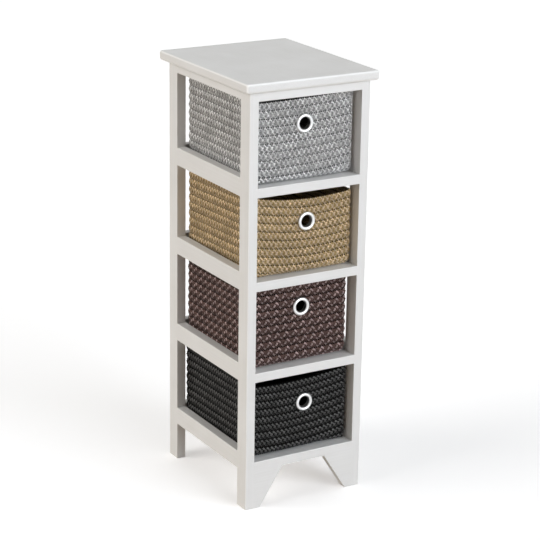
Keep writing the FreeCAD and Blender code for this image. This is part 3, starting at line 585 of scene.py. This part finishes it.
def braid_finish(colour):
    """Dyed strands of two tones over a lining coloured as painted shade, clouded and finely fibrous, with
    painted shade in the seams of the lining and the inside, and painted light and shade across each row,
    darker at its foot and lighter at its top.
    """
    first, second, lining = BRAID_TONES[colour]
    finish, tree, shader = new_finish(f"{colour}_braid")
    along, across, strand, height = [
        add_node(tree, "ShaderNodeAttribute", attribute_name=name).outputs["Fac"]
        for name in ("along", "across", "strand", "height")
    ]

    def streaks(along_scale, across_scale, lot_scale, detail):
        """A noise over the strands, another one for each lot of them."""
        place = add_node(tree, "ShaderNodeCombineXYZ", {
            "X": maths(tree, "MULTIPLY", along, along_scale),
            "Y": maths(tree, "MULTIPLY", across, across_scale),
            "Z": maths(tree, "MULTIPLY", strand, lot_scale)})
        return noise(tree, place.outputs[0], scale=1.0, detail=detail)

    cloud = streaks(CLOUD_ALONG, CLOUD_ACROSS, CLOUD_LOT, detail=3.0)
    fibre = streaks(FIBRE_ALONG, FIBRE_ACROSS, FIBRE_LOT, detail=2.0)
    skin = mapped(tree, strand, 1.0, INSIDE_LOT)
    behind = mapped(tree, strand, INSIDE_LOT, LINING_LOT)
    dark = maths(tree, "MINIMUM", strand, 1.0)
    dark = maths(tree, "SUBTRACT", dark, maths(tree, "MULTIPLY", skin, INSIDE_LIGHT))
    # The lining takes its dark tone, painted shade in the gaps between strands.
    tone = blended(tree, behind, blended(tree, dark, first, second), lining)
    slant = maths(tree, "ADD", maths(tree, "MULTIPLY", along, math.tau / CHEVRON_PERIOD),
                  maths(tree, "MULTIPLY", across, CHEVRON_SLANT))
    chevron = mapped(tree, maths(tree, "SINE", slant), -1.0, 1.0, CHEVRON_DARK, 1.0)
    # Painted shade in the seams between rows, on the lining and on the inside.
    seam = mapped(tree, across, 0.0, SEAM_SHADE_SHARE, SEAM_PAINTED_SHADE, 1.0)
    pattern = mixed(tree, skin, 1.0, maths(tree, "MULTIPLY", chevron, seam))
    tone = scaled(tree, tone, pattern)
    level = maths(tree, "MULTIPLY", spread(tree, cloud, *CLOUD_RANGE), spread(tree, fibre, *FIBRE_RANGE))
    # Painted light and shade: each row is darker at its lower edge and lighter at its upper edge, as light
    # from above falls on a rounded row.
    row_painted_light = mapped(tree, height, -PAINTED_ROW_SHADE_REACH, PAINTED_ROW_SHADE_REACH, *BASKET_SHAPES[colour]["painted_row_shade"])
    tone = scaled(tree, tone, maths(tree, "MULTIPLY", level, row_painted_light))
    tree.links.new(tone, shader.inputs["Base Color"])
    tree.links.new(spread(tree, fibre, *BRAID_ROUGHNESS), shader.inputs["Roughness"])
    shader.inputs["Specular IOR Level"].default_value = BRAID_SPECULAR
    relief = maths(tree, "ADD", maths(tree, "MULTIPLY", pattern, CHEVRON_RELIEF), fibre)
    bump = add_node(tree, "ShaderNodeBump", {
        "Height": relief, "Distance": RELIEF_DEPTH, "Strength": RELIEF_STRENGTH})
    tree.links.new(bump.outputs[0], shader.inputs["Normal"])
    return finish


plait = braid_tree()
for colour, shape in BASKET_SHAPES.items():
    holder = bpy.data.objects.new(f"{colour}_coil", coil_guides(colour))
    modifier = holder.modifiers.new("plait", "NODES")
    modifier.node_group = plait
    low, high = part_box(f"{colour}_eyelet")
    set_inputs(modifier, {
        "Strands": STRANDS, "Light Every": shape["light_every"], "Strand Period": shape["period"],
        "Steps": STRAND_STEPS, "Strand Width": shape["strand"], "Strand Thickness": STRAND_THICKNESS,
        "Fold Share": shape["fold"], "Crossing Depth": CROSSING_DEPTH, "Rising Share": shape["rising"],
        "Standoff": STRAND_STANDOFF, "Waver": WAVER, "Lining Depth": LINING_DEPTH,
        "Lining Thickness": LINING_THICKNESS, "Eyelet Middle": (low + high) / 2,
        "Eyelet Cut": (high.x - low.x) / 2 * EYELET_CUT_SHARE, "Braid": braid_finish(colour),
    })
    basket = plain_mesh(holder, f"{colour}_braid_basket")
    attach(basket, f"{colour}_drawer")
    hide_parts(f"{colour}_basket")

# Eyelets and their washers.
# Turned rings of satin nickel-plated steel. Each is pressed through the front wall of its basket
# and closed over a washer behind it.
EYELET_METAL = (0.71, 0.71, 0.705, 1.0)
EYELET_ROUGHNESS = (0.30, 0.42)
EYELET_SMEAR_SCALE = 160.0

nickel = plated("eyelet_nickel", EYELET_METAL, EYELET_ROUGHNESS, EYELET_SMEAR_SCALE, detail=2.0)
for colour in BRAID_TONES:
    repaint(f"{colour}_eyelet", nickel)
    repaint(f"{colour}_eyelet_washer", nickel)

# Studio: a pale matt floor in a dim, warm surround, with soft light from above, the front and the left.
# The camera sees a white surround and the floor lifted towards white, and reflections see nearly the same,
# so the background is white and the floor still shows the shadow.
WHITE = (1.0, 1.0, 1.0, 1.0)
FLOOR_REACH = 6.0
FLOOR_COLOUR = (0.93, 0.93, 0.94, 1.0)
FLOOR_BOUNCE = (0.52, 0.44, 0.36, 1.0)
FLOOR_ROUGHNESS = 0.9
FLOOR_LIFT = 0.40
SURROUND_LEVEL = 0.162
SURROUND_OVERHEAD = 0.086
SURROUND_GLOSS = 0.75
SURROUND_TINT = (1.0, 0.835, 0.667, 1.0)
SEEN_RAYS = ("Is Camera Ray", "Is Transmission Ray")
SEEN_OR_MIRRORED_RAYS = ("Is Camera Ray", "Is Transmission Ray", "Is Glossy Ray")


def ray_mark(tree, kinds):
    """One for rays of these kinds, and zero for all others."""
    rays = add_node(tree, "ShaderNodeLightPath").outputs
    mark = rays[kinds[0]]
    for kind in kinds[1:]:
        mark = maths(tree, "MAXIMUM", mark, rays[kind])
    return mark


floor_mesh = bpy.data.meshes.new("floor")
ends = (-FLOOR_REACH, FLOOR_REACH)
floor_mesh.from_pydata([(x, y, 0.0) for x in ends for y in ends], [], [(0, 2, 3, 1)])
floor = bpy.data.objects.new("floor", floor_mesh)
bpy.context.scene.collection.objects.link(floor)
floor_finish, floor_tree, floor_shader = new_finish("floor_white")
floor_seen = ray_mark(floor_tree, SEEN_OR_MIRRORED_RAYS)
floor_colour = blended(floor_tree, floor_seen, FLOOR_BOUNCE, FLOOR_COLOUR)
floor_tree.links.new(floor_colour, floor_shader.inputs["Base Color"])
floor_shader.inputs["Roughness"].default_value = FLOOR_ROUGHNESS
floor_shader.inputs["Specular IOR Level"].default_value = 0.0
floor_shader.inputs["Emission Color"].default_value = WHITE
floor_lift = maths(floor_tree, "MULTIPLY", floor_seen, FLOOR_LIFT)
floor_tree.links.new(floor_lift, floor_shader.inputs["Emission Strength"])
floor_mesh.materials.append(floor_finish)

world = bpy.data.worlds.new("white_surround")
world.use_nodes = True
bpy.context.scene.world = world
room = world.node_tree
backdrop = room.nodes["Background"]
seen = ray_mark(room, SEEN_RAYS)
seen_or_mirrored = ray_mark(room, SEEN_OR_MIRRORED_RAYS)
room.links.new(blended(room, seen_or_mirrored, SURROUND_TINT, WHITE), backdrop.inputs["Color"])
direction = add_node(room, "ShaderNodeTexCoord").outputs["Generated"]
height = add_node(room, "ShaderNodeSeparateXYZ", {0: direction}).outputs["Z"]
glow = mapped(room, height, 0.0, 1.0, SURROUND_LEVEL, SURROUND_OVERHEAD)
glow = mixed(room, seen_or_mirrored, glow, SURROUND_GLOSS)
glow = mixed(room, seen, glow, 1.0)
room.links.new(glow, backdrop.inputs["Strength"])

LAMPS = (
    ("overhead_light", (0.20, 0.10, 0.97), (0.90, 0.96, 1.0), 0.56, 50.0),
    ("front_light", (0.32, -0.91, 0.26), (0.89, 0.94, 1.0), 2.78, 50.0),
    ("left_light", (-0.90, 0.22, 0.38), (1.0, 0.985, 0.955), 1.92, 50.0),
)
for name, towards, light, strength, softness in LAMPS:
    data = bpy.data.lights.new(name, "SUN")
    data.color = light
    data.energy = strength
    data.angle = math.radians(softness)
    lamp = bpy.data.objects.new(name, data)
    lamp.rotation_mode = "QUATERNION"
    lamp.rotation_quaternion = Vector(towards).to_track_quat("Z", "Y")
    bpy.context.scene.collection.objects.link(lamp)

# Camera: a long lens from the front left, well above the top and looking down at it, with a slight roll.
# Its place and turn were fitted to the corners of the frame in the photograph.
CAMERA_PLACE = (-1.7271, -2.9543, 1.5174)
CAMERA_AZIMUTH = -30.480
CAMERA_ELEVATION = 18.057
CAMERA_ROLL = 0.886
CAMERA_LENS = 128.55
azimuth = math.radians(CAMERA_AZIMUTH)
elevation = math.radians(CAMERA_ELEVATION)
sideways = math.cos(elevation)
back = Vector((math.sin(azimuth) * sideways, -math.cos(azimuth) * sideways, math.sin(elevation)))
turned = (-back).to_track_quat("-Z", "Y").to_matrix().to_4x4()
roll = Matrix.Rotation(math.radians(CAMERA_ROLL), 4, "Z")
camera_data = bpy.data.cameras.new("camera")
camera_data.lens = CAMERA_LENS
camera = bpy.data.objects.new("camera", camera_data)
camera.matrix_world = Matrix.Translation(CAMERA_PLACE) @ turned @ roll
bpy.context.scene.collection.objects.link(camera)
bpy.context.scene.camera = camera
bpy.context.scene.view_settings.view_transform = "Standard"
